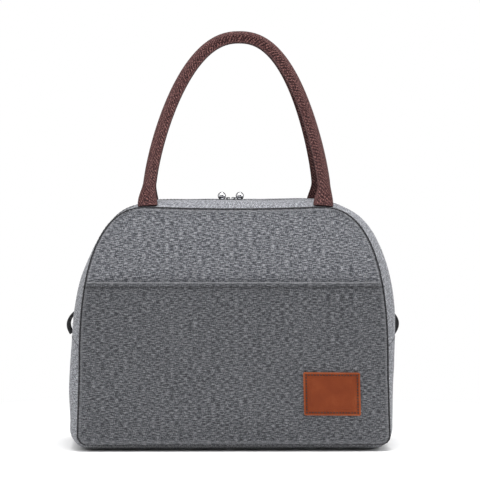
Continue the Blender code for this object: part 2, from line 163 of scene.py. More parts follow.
def bump(tree, shader, height, strength, distance):
    node = addNode(tree, "ShaderNodeBump", Strength=strength, Distance=distance)
    link(tree, height, node.inputs["Height"])
    link(tree, node.outputs["Normal"], shader.inputs["Normal"])


cloth = {
    "dark": (0.034, 0.036, 0.044),
    "middle": (0.128, 0.133, 0.150),
    "light": (0.33, 0.335, 0.355),
    "roughness": 0.88,
    "threads": 1500.0,
    "weft": (260.0, 1500.0, 1.0),
    "warp": (1500.0, 420.0, 1.0),
    "fine": (1700.0, 1900.0, 1.0),
    "cloud": (26.0, 26.0, 1.0),
    # how strongly the painted highlight lightens the cloth's folded rims
    "worn": 0.55,
    "sheen": 0.12,
    "bump": (0.2, 0.0002),
}


def makeCloth(name, lift):
    # heathered yarn: long slubs along the weft, fewer down the warp
    material, tree, shader = nodeTree(name)
    flat = uvSource(tree)
    weft = stretched(tree, flat, cloth["weft"], 0.0)
    fine = stretched(tree, flat, cloth["fine"], 0.0)
    warp = stretched(tree, flat, cloth["warp"], 0.0)
    cloud = stretched(tree, flat, cloth["cloud"], 3.0)
    yarn = weighted(tree, (weft, 0.425), (warp, 0.2), (fine, 0.325), (cloud, 0.03))
    # lift scales every tone; the pocket and gusset copies use it to paint shade and light
    shades = [tuple(lift * c for c in cloth[key]) for key in ("dark", "middle", "light")]
    colour = ramp(tree, yarn, [(0.42, shades[0]), (0.51, shades[1]), (0.59, shades[2])])
    # painted highlight: the tone is mixed toward the light yarn on the seam rims and the pocket's top edge,
    # as if the folded cloth caught the light
    fold = addNode(tree, "ShaderNodeMix", data_type="RGBA")
    worn = addNode(tree, "ShaderNodeAttribute", attribute_name="edge").outputs["Fac"]
    link(tree, mathNode(tree, "MULTIPLY", worn, cloth["worn"]), fold.inputs["Factor"])
    link(tree, colour, fold.inputs["A"])
    fold.inputs["B"].default_value = (*shades[2], 1.0)
    link(tree, fold.outputs["Result"], shader.inputs["Base Color"])
    shader.inputs["Roughness"].default_value = cloth["roughness"]
    shader.inputs["Sheen Weight"].default_value = cloth["sheen"]
    shader.inputs["Sheen Roughness"].default_value = 0.5
    height = weighted(tree, (weave(tree, flat, cloth["threads"]), 1.0), (weft, 2.0))
    bump(tree, shader, height, *cloth["bump"])
    return material


webbing = {
    "ground": (0.012, 0.003, 0.004),
    "brown": (0.050, 0.015, 0.015),
    "fleck": (0.21, 0.10, 0.09),
    "roughness": 0.75,
    "diagonal": (1900.0, 620.0, 1.0),
    "second": (900.0, 2300.0, 1.0),
    "yarnTurn": math.radians(38),
    "ridgeTurn": math.radians(35),
    "ridges": 185.0,
    "bump": (0.7, 0.0006),
}


def makeWebbing():
    # twill with pale yarn showing on the diagonal
    material, tree, shader = nodeTree("webbingTwill")
    flat = uvSource(tree)
    diagonal = stretched(tree, flat, webbing["diagonal"], 1.0, webbing["yarnTurn"])
    second = stretched(tree, flat, webbing["second"], 1.0, webbing["yarnTurn"])
    turned = addNode(tree, "ShaderNodeMapping")
    turned.inputs["Rotation"].default_value = (0.0, 0.0, webbing["ridgeTurn"])
    link(tree, flat, turned.inputs["Vector"])
    ridges = addNode(tree, "ShaderNodeTexWave", Scale=webbing["ridges"], Distortion=1.5, Detail=1.0)
    link(tree, turned.outputs["Vector"], ridges.inputs["Vector"])
    ridge = mathNode(tree, "SUBTRACT", ridges.outputs["Fac"], 0.5)
    yarn = weighted(tree, (diagonal, 0.7), (second, 0.3), (ridge, 0.13))
    stops = [(0.40, webbing["ground"]), (0.52, webbing["brown"]), (0.66, webbing["fleck"])]
    colour = ramp(tree, yarn, stops)
    link(tree, colour, shader.inputs["Base Color"])
    shader.inputs["Roughness"].default_value = webbing["roughness"]
    shader.inputs["Sheen Weight"].default_value = 0.04
    shader.inputs["Specular IOR Level"].default_value = 0.2
    bump(tree, shader, yarn, *webbing["bump"])
    return material


leather = {
    "deep": (0.135, 0.026, 0.008),
    "rust": (0.165, 0.034, 0.010),
    "worn": (0.26, 0.068, 0.024),
    "roughness": 0.5,
    "shine": 0.12,
    "pores": 950.0,
    "cloud": (70.0, 70.0, 1.0),
    "bump": (0.35, 0.0003),
}


def makeLeather():
    material, tree, shader = nodeTree("rustLeather")
    flat = uvSource(tree)
    cells = addNode(tree, "ShaderNodeTexVoronoi", Scale=leather["pores"])
    link(tree, flat, cells.inputs["Vector"])
    cloud = stretched(tree, flat, leather["cloud"], 5.0)
    edge = addNode(tree, "ShaderNodeAttribute", attribute_name="edge").outputs["Fac"]
    tone = weighted(tree, (cloud, 0.75), (edge, 0.45))
    colour = ramp(tree, tone, [(0.2, leather["deep"]), (0.42, leather["rust"]), (0.85, leather["worn"])])
    link(tree, colour, shader.inputs["Base Color"])
    shader.inputs["Roughness"].default_value = leather["roughness"]
    shader.inputs["Specular IOR Level"].default_value = leather["shine"]
    bump(tree, shader, mathNode(tree, "ADD", cells.outputs["Distance"], cloud), *leather["bump"])
    return material


def makePlainYarn(name, low, high, threads):
    material, tree, shader = nodeTree(name)
    flat = uvSource(tree)
    height = weave(tree, flat, threads)
    tone = weighted(tree, (height, 0.5), (stretched(tree, flat, (90.0, 90.0, 1.0)), 0.5))
    link(tree, ramp(tree, tone, [(0.2, low), (0.8, high)]), shader.inputs["Base Color"])
    shader.inputs["Roughness"].default_value = 0.85
    bump(tree, shader, height, 0.6, 0.0003)
    return material


def makeSolid(name, low, high, roughness, metallic, grain, depth):
    material, tree, shader = nodeTree(name)
    place = addNode(tree, "ShaderNodeTexCoord").outputs["Object"]
    tone = stretched(tree, place, (grain, grain, grain), 3.0)
    link(tree, ramp(tree, tone, [(0.3, low), (0.7, high)]), shader.inputs["Base Color"])
    shader.inputs["Roughness"].default_value = roughness
    shader.inputs["Metallic"].default_value = metallic
    bump(tree, shader, tone, 0.3, depth)
    return material


foil = {
    "low": (0.55, 0.56, 0.58),
    "high": (0.78, 0.79, 0.81),
    "crinkle": (110.0, 110.0, 1.0),
    "threads": 260.0,
}


def makeLiner():
    material, tree, shader = nodeTree("foilLiner")
    flat = uvSource(tree)
    crinkle = stretched(tree, flat, foil["crinkle"], 6.0)
    height = weighted(tree, (weave(tree, flat, foil["threads"]), 0.5), (crinkle, 1.0))
    colour = ramp(tree, crinkle, [(0.3, foil["low"]), (0.7, foil["high"])])
    link(tree, colour, shader.inputs["Base Color"])
    shader.inputs["Metallic"].default_value = 0.75
    shader.inputs["Roughness"].default_value = 0.34
    bump(tree, shader, height, 0.6, 0.0008)
    return material


print("materials")
clothLook = makeCloth("heatherCloth", 0.90)
# painted shade: the pocket's copy of the cloth is darker, as if less light from above reached it
pocketShadedLook = makeCloth("heatherPocketPaintedShade", 0.49)
# painted light: the gusset's copy of the cloth is lighter, as if lit from above; the base uses it too
gussetLitLook = makeCloth("heatherGussetPaintedLight", 1.2)
webbingLook = makeWebbing()
leatherLook = makeLeather()
linerLook = makeLiner()
tapeLook = makePlainYarn("zipTape", (0.006, 0.006, 0.007), (0.022, 0.022, 0.024), 1300.0)
bindingLook = makePlainYarn("bindingTape", (0.02, 0.02, 0.022), (0.06, 0.06, 0.065), 900.0)
ropeLook = makePlainYarn("cottonRope", (0.5, 0.44, 0.34), (0.75, 0.7, 0.58), 700.0)
# plain finishes: dark shade, light shade, roughness, metallic, grain, grain depth
finishes = {
    "darkThread": ((0.008, 0.008, 0.01), (0.03, 0.03, 0.034), 0.6, 0.0, 2500.0, 0.0001),
    "brownThread": ((0.012, 0.003, 0.002), (0.03, 0.007, 0.005), 0.6, 0.0, 2500.0, 0.0001),
    "paleThread": ((0.26, 0.15, 0.13), (0.42, 0.28, 0.24), 0.6, 0.0, 2500.0, 0.0001),
    "nylonCoil": ((0.01, 0.01, 0.011), (0.03, 0.03, 0.032), 0.35, 0.0, 900.0, 0.0001),
    "chrome": ((0.78, 0.78, 0.8), (0.88, 0.88, 0.9), 0.09, 1.0, 500.0, 0.00001),
    "sliderSteel": ((0.16, 0.16, 0.17), (0.3, 0.3, 0.32), 0.3, 1.0, 500.0, 0.00001),
    "whiteFoam": ((0.78, 0.78, 0.75), (0.9, 0.9, 0.88), 0.95, 0.0, 1600.0, 0.0003),
    "greyBoard": ((0.12, 0.12, 0.12), (0.2, 0.2, 0.2), 0.8, 0.0, 300.0, 0.0002),
}
looks = {name: makeSolid(name, *values) for name, values in finishes.items()}
threadLook, foamLook, chromeLook, steelLook = (
    looks[name] for name in ("darkThread", "whiteFoam", "chrome", "sliderSteel")
)

# Places run round an outline: 0 crown, 1 shoulder, 2 side, 3 bottom corner, 4 flat base, 5 base middle.
seam = {
    "flat": 70.0, "wide": 129.4, "top": 204.8, "spring": 65.0,
    "power": 2.6, "corner": 8.0, "base": 5.8, "runOut": 1.6,
}
middle = {
    "flat": 52.0, "wide": 136.9, "top": 210.4, "spring": 70.0,
    "power": 2.65, "corner": 19.0, "base": 0.0, "runOut": -0.3,
}
bag = {"halfDepth": 80.0, "ringDepth": 78.9, "rounding": 0.35, "sag": 1.5, "lean": 4.6, "leanFrom": 90.0}
ends = {"zip": 1.865, "side": 3.55, "cover": 7.0, "foam": 10.3}
# folds as (size, height, seed), and how far from the foot, seam and top they fade
gussetFolds = {
    "big": (46.0, 1.3, 3.1), "small": (15.0, 0.35, 7.7), "pucker": (9.0, 0.35, 1.3),
    "nearFoot": 25.0, "nearSeam": 14.0, "puckerReach": 7.0,
    "flatFrom": 190.0, "mostBelow": 0.6, "mostAbove": 0.1,
}
panelFolds = {
    "full": 2.0, "reach": 26.0, "roll": 0.55, "rollAt": 2.0, "rollWidth": 1.5,
    "big": (60.0, 0.9), "small": (21.0, 0.3), "tuck": 0.7, "tuckReach": 2.5,
}


def outlineRuns(shape):
    arch, bend = [], []
    steps = 120
    corner = shape["corner"]
    foot = shape["wide"] + shape["runOut"] - corner
    for i in range(steps + 1):
        turn = math.pi / 2 * i / steps
        across = (shape["wide"] - shape["flat"]) * math.sin(turn) ** (2 / shape["power"])
        rise = (shape["top"] - shape["spring"]) * max(0.0, math.cos(turn)) ** (2 / shape["power"])
        arch.append((shape["flat"] + across, shape["spring"] + rise))
        bend.append((foot + corner * math.cos(turn), shape["base"] + corner * (1 - math.sin(turn))))
    return [
        [(0.0, shape["top"]), (shape["flat"], shape["top"])],
        arch,
        [arch[-1], bend[0]],
        bend,
        [bend[-1], (0.0, shape["base"])],
    ]


def measured(run):
    total = [0.0]
    for a, b in zip(run, run[1:]):
        total.append(total[-1] + math.dist(a, b))
    return run, total


seamRuns = [measured(run) for run in outlineRuns(seam)]
middleRuns = [measured(run) for run in outlineRuns(middle)]


def outlineAt(runs, place):
    place = place % 10
    left = place > 5
    if left:
        place = 10 - place
    index = min(4, int(place))
    run, total = runs[index]
    goal = (place - index) * total[-1]
    i = 0
    while i < len(run) - 2 and total[i + 1] < goal:
        i += 1
    k = (goal - total[i]) / max(1e-9, total[i + 1] - total[i])
    x = mix(run[i][0], run[i + 1][0], k)
    z = mix(run[i][1], run[i + 1][1], k)
    return (-x if left else x, z)


def sagAt(x):
    return bag["sag"] * max(0.0, 1 - (x / seam["flat"]) ** 2)


def gussetSwell(x, depth, z):
    # soft folds in the strip, with puckers along its seams
    folds = gussetFolds
    toSeam = bag["ringDepth"] - abs(depth)
    offGround = min(1.0, z / folds["nearFoot"])
    free = offGround * smooth(toSeam / folds["nearSeam"])
    swell = 0.0
    for size, height, seed in (folds["big"], folds["small"]):
        swell += height * wobble(x, depth, z, size, seed) * free
    size, height, seed = folds["pucker"]
    pucker = smooth(1 - toSeam / folds["puckerReach"])
    swell += height * pucker * wobble(x * 2.2, 0.0, z * 2.2, size, seed) * offGround
    return min(swell, mix(folds["mostBelow"], folds["mostAbove"], smooth((z - folds["flatFrom"]) / 14.0)))


def gussetPoint(place, depth, inward=0.0):
    # a point on the strip round the bag, drawn in from its outside by so many mm
    a = outlineAt(seamRuns, place)
    b = outlineAt(middleRuns, place)
    share = min(1.0, (1 - min(1.0, abs(depth) / bag["ringDepth"])) / bag["rounding"])
    k = math.sin(share * math.pi / 2)
    lean = bag["lean"] * (b[1] - bag["leanFrom"]) / 100.0
    x = mix(a[0], b[0] + max(-2.0, min(bag["lean"], lean)), k)
    z = mix(a[1], b[1], k) - sagAt(a[0]) * (0.45 + 0.55 * (1 - k)) * onCrown(place)
    before = outlineAt(middleRuns, place - 0.02)
    after = outlineAt(middleRuns, place + 0.02)
    way = Vector((after[0] - before[0], after[1] - before[1])).normalized()
    if inward == 0.0:
        inward = -gussetSwell(x, depth, z)
    return Vector((x + way.y * inward, depth, z - way.x * inward)) * mm


def onCrown(place):
    return min(place % 10, 10 - place % 10) < 1.3


def seamHalfWidth(height):
    foot = seam["wide"] + seam["runOut"]
    low = seam["base"] + seam["corner"]
    if height < low:
        drop = low - height
        return foot - seam["corner"] + math.sqrt(max(0.0, seam["corner"] ** 2 - drop**2))
    if height < seam["spring"]:
        return mix(foot, seam["wide"], (height - low) / (seam["spring"] - low))
    rise = min(1.0, (height - seam["spring"]) / (seam["top"] - seam["spring"]))
    return seam["flat"] + (seam["wide"] - seam["flat"]) * (1 - rise ** seam["power"]) ** (1 / seam["power"])


def panelSwell(x, z, seed):
    # how far the panel stands out: pulled in at its seam, full in the middle, with soft folds
    folds = panelFolds
    edge = min(seamHalfWidth(z) - abs(x), seam["top"] - z + 0.5, z - seam["base"] + 0.5)
    full = smooth(max(0.0, edge) / folds["reach"])
    roll = folds["roll"] * math.exp(-(((edge - folds["rollAt"]) / folds["rollWidth"]) ** 2))
    size, height = folds["big"]
    soft = height * wobble(x, 0.0, z, size, seed)
    size, height = folds["small"]
    soft += height * wobble(x, 0.0, z, size, seed + 5)
    tuck = folds["tuck"] * (1 - smooth(max(0.0, edge) / folds["tuckReach"]))
    return folds["full"] * full + roll + soft * full - tuck


def panelPoint(side, seed):
    def at(across, row):
        height = mix(seam["base"], seam["top"], row)
        x = across * seamHalfWidth(height)
        y = bag["halfDepth"] + panelSwell(x, height, seed)
        return Vector((x, side * y, height - sagAt(x) * smooth(row * 4 - 3))) * mm

    return at


def finishSheet(obj, thickness, look, sharp=50.0):
    if thickness:
        solid = obj.modifiers.new("cloth", "SOLIDIFY")
        solid.thickness = thickness * mm
        solid.offset = -1.0
        solid.use_even_offset = True
    graph = bpy.context.evaluated_depsgraph_get()
    made = bpy.data.meshes.new_from_object(obj.evaluated_get(graph))
    obj.modifiers.clear()
    old = obj.data
    obj.data = made
    bpy.data.meshes.remove(old)
    made.shade_smooth()
    made.set_sharp_from_angle(angle=math.radians(sharp))
    made.materials.clear()
    made.materials.append(look)
    return obj


def gridMesh(name, pointAt, columns, rows, uvAt, keep=None):
    corners, faces, uvs = {}, [], []
    points = []

    def corner(i, j):
        if (i, j) not in corners:
            corners[i, j] = len(points)
            points.append(pointAt(columns[i], rows[j]))
        return corners[i, j]

    for i in range(len(columns) - 1):
        for j in range(len(rows) - 1):
            if keep and not keep((columns[i] + columns[i + 1]) / 2, (rows[j] + rows[j + 1]) / 2):
                continue
            cell = ((i, j), (i, j + 1), (i + 1, j + 1), (i + 1, j))
            faces.append([corner(*c) for c in cell])
            uvs += [uvAt(columns[a], rows[b]) for a, b in cell]
    mesh = bpy.data.meshes.new(name)
    mesh.from_pydata(points, [], faces)
    layer = mesh.uv_layers.new(name="flat")
    for slot, uv in zip(layer.data, uvs):
        slot.uv = uv
    obj = bpy.data.objects.new(name, mesh)
    bpy.context.collection.objects.link(obj)
    return obj


def sheetOf(name, pointAt, columns, rows, uvAt, thickness, look, keep=None):
    return finishSheet(gridMesh(name, pointAt, columns, rows, uvAt, keep), thickness, look)


def gussetSheet(name, places, depths, inward, thickness, look, keep=None):
    girth = {}
    travelled, last = 0.0, None
    for place in places:
        here = Vector(outlineAt(middleRuns, place))
        travelled += (here - last).length if last else 0.0
        last = here
        girth[place] = travelled * mm
    point = lambda p, d: gussetPoint(p, -d, inward)
    return sheetOf(name, point, places, depths, lambda p, d: (d * mm, girth[p]), thickness, look, keep)


def panelSheet(name, side, inward, inset, thickness, look, seed, fineness=1):
    def at(across, row):
        point = panelPoint(side, seed)(across, row)
        if inward:
            point.y = side * (bag["halfDepth"] - inward) * mm
            point.x *= 1 - inset / 130.0
            point.z = mix(seam["base"] + inset, seam["top"] - inset, row) * mm
        return point

    columns = [-math.cos(math.pi * i / (48 * fineness)) for i in range(48 * fineness + 1)]
    rows = [(1 - math.cos(math.pi * i / (40 * fineness))) / 2 for i in range(40 * fineness + 1)]
    if side < 0:
        columns.reverse()

    def flat(across, row):
        height = mix(seam["base"], seam["top"], row)
        return (across * seamHalfWidth(height) * mm, height * mm)

    return sheetOf(name, at, columns, rows, flat, thickness, look)


def paintEdge(obj, amountAt):
    # marks where the colour runs lighter: a painted highlight on the cloth's folded rims, and the leather
    # patch's lighter border
    edge = obj.data.attributes.new("edge", "FLOAT", "POINT")
    for vertex, value in zip(obj.data.vertices, edge.data):
        value.value = amountAt(vertex.co.x / mm, vertex.co.z / mm)


# painted highlight: a thin light band just inside the seam, where the panel's rolled rim catches light
def besideSeam(x, z):
    away = min(seamHalfWidth(z) - abs(x), seam["top"] - sagAt(x) - z, z - seam["base"])
    return 0.7 * math.exp(-(((away - 1.7) / 1.0) ** 2))


def left(places):
    return [-p for p in reversed(places)]


def rear(depths):
    return [-d for d in reversed(depths)]


faces = (("front", -1), ("rear", 1))
sides = (("right", 1, lambda places: places), ("left", -1, left))
halves = (("front", lambda depths: depths), ("rear", rear))
# how far in from the outside each layer lies, and how thick it is
layers = {
    "cloth": (0.0, 1.0), "foam": (1.5, 4.6), "liner": (6.9, 0.5), "tape": (3.2, 0.5),
    "allowance": (1.12, 0.3), "baseFoam": (3.9, 4.6), "baseLiner": (9.0, 0.5),
}
# the same for the panels, with how far they stop short of the seam
panelLayers = {"cloth": (0.0, 0.0, 1.0), "foam": (1.6, 2.4, 4.8), "liner": (6.7, 7.6, 0.5)}

print("panels")
for word, side, seed in (("front", -1, 2.0), ("back", 1, 9.0)):
    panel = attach(panelSheet(word + "Panel", side, *panelLayers["cloth"], clothLook, seed, 2), "bag")
    paintEdge(panel, besideSeam)
    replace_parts(panel, word + "_panel")
for word, side, seed in (("front", -1, 4.0), ("back", 1, 6.0)):
    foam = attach(panelSheet(word + "Foam", side, *panelLayers["foam"], foamLook, seed), "bag")
    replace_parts(foam, word + "_foam")
    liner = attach(panelSheet(word + "Liner", side, *panelLayers["liner"], linerLook, seed), "bag")
    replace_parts(liner, word + "_liner")

print("gusset")
ringDepth = bag["ringDepth"]
coverDepths = spread(ends["cover"], 50.0, 14) + spread(50.0, ringDepth, 16)[1:]
foamDepths = spread(ends["foam"], 73.2, 10)
linerDepths = spread(ends["foam"], 72.0, 10)
tapeDepths = spread(2.9, 9.8, 3)
fullDepths = rear(coverDepths) + coverDepths
fullFoams = rear(foamDepths) + foamDepths
fullLiners = rear(linerDepths) + linerDepths
stripPlaces = spread(0.0, 1.0, 16) + spread(1.0, ends["zip"], 44)[1:]
tapePlaces = [p for p in stripPlaces if p < ends["zip"] - 0.03]
sidePlaces = spread(ends["zip"] + 0.004, 2.0, 6) + spread(2.0, 3.0, 14)[1:]
sidePlaces += spread(3.0, ends["side"], 6)[1:]
foamPlaces = sidePlaces[:-1] + [3.6, 3.9]
baseSide = spread(ends["side"] + 0.01, 4.0, 6)
basePlaces = baseSide + spread(4.0, 6.0, 24)[1:] + [10 - p for p in reversed(baseSide[:-1])]


def openWithFlap(obj):
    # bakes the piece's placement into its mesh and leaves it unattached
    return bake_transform(obj)


for side, sign, turn in sides:
    sidePanel = gussetSheet(side + "SidePanel", turn(sidePlaces), fullDepths, *layers["cloth"], gussetLitLook)
    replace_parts(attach(sidePanel, "bag"), side + "_side_panel")
    sideFoam = gussetSheet(side + "SideFoam", turn(foamPlaces), fullFoams, *layers["foam"], foamLook)
    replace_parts(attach(sideFoam, "bag"), side + "_gusset_foam")
    sideLiner = gussetSheet(side + "SideLiner", turn(sidePlaces), fullLiners, *layers["liner"], linerLook)
    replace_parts(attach(sideLiner, "bag"), side + "_gusset_liner")
    for word, flip in halves:
        label = word + side.capitalize()
        places = turn(stripPlaces)
        strip = gussetSheet(label + "Strip", places, flip(coverDepths), *layers["cloth"], gussetLitLook)
        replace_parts(openWithFlap(strip), f"{word}_{side}_zip_cover", word + "_flap_cover")
        foam = gussetSheet(label + "StripFoam", places, flip(foamDepths), *layers["foam"], foamLook)
        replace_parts(openWithFlap(foam), word + "_flap_foam")
        liner = gussetSheet(label + "StripLiner", places, flip(linerDepths), *layers["liner"], linerLook)
        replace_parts(openWithFlap(liner), word + "_flap_liner")
        tape = gussetSheet(label + "Tape", turn(tapePlaces), flip(tapeDepths), *layers["tape"], tapeLook)
        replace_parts(openWithFlap(tape), f"{word}_{side}_zip_tape", word + "_flap_tape")

# the seam's turned-in cloth, seen when a flap is lifted
for word, flip in (("front", lambda depths: depths), ("rear", rear)):
    tuck = flip(spread(74.4, ringDepth - 0.1, 5))
    name = word + "SeamAllowance"
    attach(gussetSheet(name, spread(-1.0, 1.0, 24), tuck, *layers["allowance"], gussetLitLook), "bag")

base = gussetSheet("basePanel", basePlaces, fullDepths, *layers["cloth"], gussetLitLook)
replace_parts(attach(base, "bag"), "base_panel")
baseFoam = gussetSheet("baseFoam", spread(4.06, 5.94, 12), fullFoams, *layers["baseFoam"], foamLook)
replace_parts(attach(baseFoam, "bag"), "base_foam")
baseLiner = gussetSheet("baseLiner", spread(4.12, 5.88, 12), fullLiners, *layers["baseLiner"], linerLook)
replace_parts(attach(baseLiner, "bag"), "base_liner")


def recolour(node, look):
    # a CAD piece that keeps its shape and only gets its finish
    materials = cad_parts[node].data.materials
    materials.clear()
    materials.append(look)


recolour("base_board", looks["greyBoard"])

pocket = {
    "top": 142.4, "low": 6.0, "sideIn": 1.0, "stand": 1.35, "extra": 3.4, "rise": 24.0,
    "hemWidth": 4.3, "hemOut": 0.9, "lipIn": 1.1, "dent": 0.5, "fold": (52.0, 0.7, 12.0), "hemHalf": 125.5,
}
# a short crease near the pocket's left top corner
crease = {"deep": 0.9, "x": -116.0, "fromZ": 104.0, "slope": 0.35, "width": 3.0, "midZ": 122.0, "high": 14.0}


def pocketOut(x, z):
    # how far the pocket's outside stands from the panel's seam plane
    across = min(1.0, abs(x) / (seamHalfWidth(z) - pocket["sideIn"]))
    up = min(1.0, max(0.0, z - pocket["low"]) / pocket["rise"])
    room = pocket["extra"] * (1 - across**6) * math.sin(up * math.pi / 2)
    fromStitch = z - pocket["top"] + pocket["hemWidth"]
    hem = pocket["hemOut"] * smooth((fromStitch + 0.8) / 0.8)
    hem -= pocket["lipIn"] * smooth(1 - (pocket["top"] - z) / 1.1)
    dent = pocket["dent"] * math.exp(-((fromStitch / 0.7) ** 2))
    beside = (x - crease["x"] - (z - crease["fromZ"]) * crease["slope"]) / crease["width"]
    along = (z - crease["midZ"]) / crease["high"]
    pinch = crease["deep"] * math.exp(-(beside**2 + along**2))
    size, height, seed = pocket["fold"]
    fold = height * wobble(x, 0.0, z, size, seed) * (1 - across**8)
    return max(0.0, panelSwell(x, z, 2.0)) + pocket["stand"] + room + hem - dent - pinch + fold * up


def pocketAt(across, z):
    x = across * (seamHalfWidth(z) - pocket["sideIn"])
    return Vector((x, -(bag["halfDepth"] + pocketOut(x, z)), z)) * mm


def pocketFlat(across, z):
    return (across * (seamHalfWidth(z) - pocket["sideIn"]) * mm, z * mm)


print("pocket and patch")
top = pocket["top"]
pocketColumns = [math.cos(math.pi * i / 90) for i in range(91)]
pocketRows = spread(pocket["low"], 30.0, 12) + spread(30.0, top - 8, 40)[1:] + spread(top - 8, top, 16)[1:]
pocketPanel = sheetOf("pocketPanel", pocketAt, pocketColumns, pocketRows, pocketFlat, 1.0, pocketShadedLook)
# painted highlight on the pocket's seam rims and its top hem
paintEdge(pocketPanel, lambda x, z: max(besideSeam(x, z), smooth(1.4 - (top - z) / 1.2)))
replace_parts(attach(pocketPanel, "bag"), "front_pocket_panel")

patch = {
    "x": 82.0, "z": 48.8, "wide": 47.5, "high": 36.0, "thick": 1.7, "corner": 1.3, "inset": 2.3,
    "border": 7.0, "roll": 0.55, "rollWidth": 1.3, "stitchDent": 0.22, "lineIn": 5.6, "lineDent": 0.16,
    "slant": (0.45, 0.25),
}


def patchAt(a, b):
    # rounded corners, a rolled edge, and a pressed line under the stitches
    x = a * patch["wide"] / 2
    z = b * patch["high"] / 2
    dx = patch["wide"] / 2 - abs(x)
    dz = patch["high"] / 2 - abs(z)
    near = min(dx, dz)
    roll = patch["roll"] * (1 - smooth(near / patch["rollWidth"]))
    line = patch["stitchDent"] * math.exp(-(((near - patch["inset"]) / 0.55) ** 2))
    frameLine = patch["lineDent"] * math.exp(-(((near - patch["lineIn"]) / 0.5) ** 2))
    if dx < patch["corner"] and dz < patch["corner"]:
        away = Vector((patch["corner"] - dx, patch["corner"] - dz))
        if away.length > patch["corner"]:
            away = away.normalized() * patch["corner"]
        x = math.copysign(patch["wide"] / 2 - patch["corner"] + away.x, x)
        z = math.copysign(patch["high"] / 2 - patch["corner"] + away.y, z)
    x += patch["x"] - patch["slant"][0] * b
    z += patch["z"] - patch["slant"][1] * a
    lift = 0.3 + patch["thick"] - roll - line - frameLine
    return Vector((x, -(bag["halfDepth"] + pocketOut(x, z) + lift), z)) * mm


def patchFlat(a, b):
    return (a * patch["wide"] / 2 * mm, b * patch["high"] / 2 * mm)


def patchBorder(x, z):
    dx = patch["wide"] / 2 - abs(x - patch["x"])
    dz = patch["high"] / 2 - abs(z - patch["z"])
    return 1 - smooth(min(dx, dz) / 1.6)


def edgeGrid(half):
    # closer lines in the border, where the edge rolls
    inner = 1 - patch["border"] / half
    near, across, far = spread(-1.0, -inner, 14), spread(-inner, inner, 14), spread(inner, 1.0, 14)
    return near + across[1:] + far[1:]


patchColumns = list(reversed(edgeGrid(patch["wide"] / 2)))
patchPiece = gridMesh("leatherPatch", patchAt, patchColumns, edgeGrid(patch["high"] / 2), patchFlat)
finishSheet(patchPiece, patch["thick"] - 0.3, leatherLook)
paintEdge(patchPiece, patchBorder)
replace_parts(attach(patchPiece, "bag"), "leather_patch")


def buildRowTree(name, across):
    # rounded grains along an edge path; across turns them only about Y, so zip teeth stay level
    tree = bpy.data.node_groups.new(name, "GeometryNodeTree")
    tree.interface.new_socket("Geometry", in_out="INPUT", socket_type="NodeSocketGeometry")
    for label in ("Spacing", "Length", "Width", "Height"):
        tree.interface.new_socket(label, in_out="INPUT", socket_type="NodeSocketFloat")
    tree.interface.new_socket("Material", in_out="INPUT", socket_type="NodeSocketMaterial")
    tree.interface.new_socket("Geometry", in_out="OUTPUT", socket_type="NodeSocketGeometry")
    start = tree.nodes.new("NodeGroupInput")
    end = tree.nodes.new("NodeGroupOutput")
    toCurve = tree.nodes.new("GeometryNodeMeshToCurve")
    resample = tree.nodes.new("GeometryNodeResampleCurve")
    resample.mode = "LENGTH"
    grain = addNode(tree, "GeometryNodeMeshUVSphere", Segments=6, Rings=4, Radius=0.5)
    place = tree.nodes.new("GeometryNodeInstanceOnPoints")
    tangent = tree.nodes.new("GeometryNodeInputTangent")
    align = tree.nodes.new("FunctionNodeAlignRotationToVector")
    align.axis = "X"
    align.pivot_axis = "Y" if across else "AUTO"
    size = tree.nodes.new("ShaderNodeCombineXYZ")
    realize = tree.nodes.new("GeometryNodeRealizeInstances")
    paint = tree.nodes.new("GeometryNodeSetMaterial")
    link(tree, start.outputs["Geometry"], toCurve.inputs["Mesh"])
    link(tree, toCurve.outputs["Curve"], resample.inputs["Curve"])
    link(tree, start.outputs["Spacing"], resample.inputs["Length"])
    link(tree, resample.outputs["Curve"], place.inputs["Points"])
    link(tree, grain.outputs["Mesh"], place.inputs["Instance"])
    link(tree, tangent.outputs["Tangent"], align.inputs["Vector"])
    link(tree, align.outputs["Rotation"], place.inputs["Rotation"])
    for socket, label in zip(size.inputs, ("Length", "Width", "Height")):
        link(tree, start.outputs[label], socket)
    link(tree, size.outputs["Vector"], place.inputs["Scale"])
    link(tree, place.outputs["Instances"], realize.inputs["Geometry"])
    link(tree, realize.outputs["Geometry"], paint.inputs["Geometry"])
    link(tree, start.outputs["Material"], paint.inputs["Material"])
    link(tree, paint.outputs["Geometry"], end.inputs["Geometry"])
    return tree


stitchTree = buildRowTree("stitchRow", False)
teethTree = buildRowTree("zipTeethRow", True)


# spacing, length, width and height of each kind of grain, in mm
grains = {
    "seam": (3.3, 2.4, 2.0, 1.5), "thread": (0.8, 1.4, 1.3, 1.2), "hem": (3.0, 2.2, 1.1, 0.8),
    "patch": (2.4, 1.8, 1.4, 1.1), "end": (1.4, 1.5, 0.5, 0.5), "edge": (3.0, 2.2, 0.6, 0.5),
    "teeth": (1.55, 1.15, 1.9, 1.7), "handle": (2.8, 2.0, 0.6, 0.5),
}


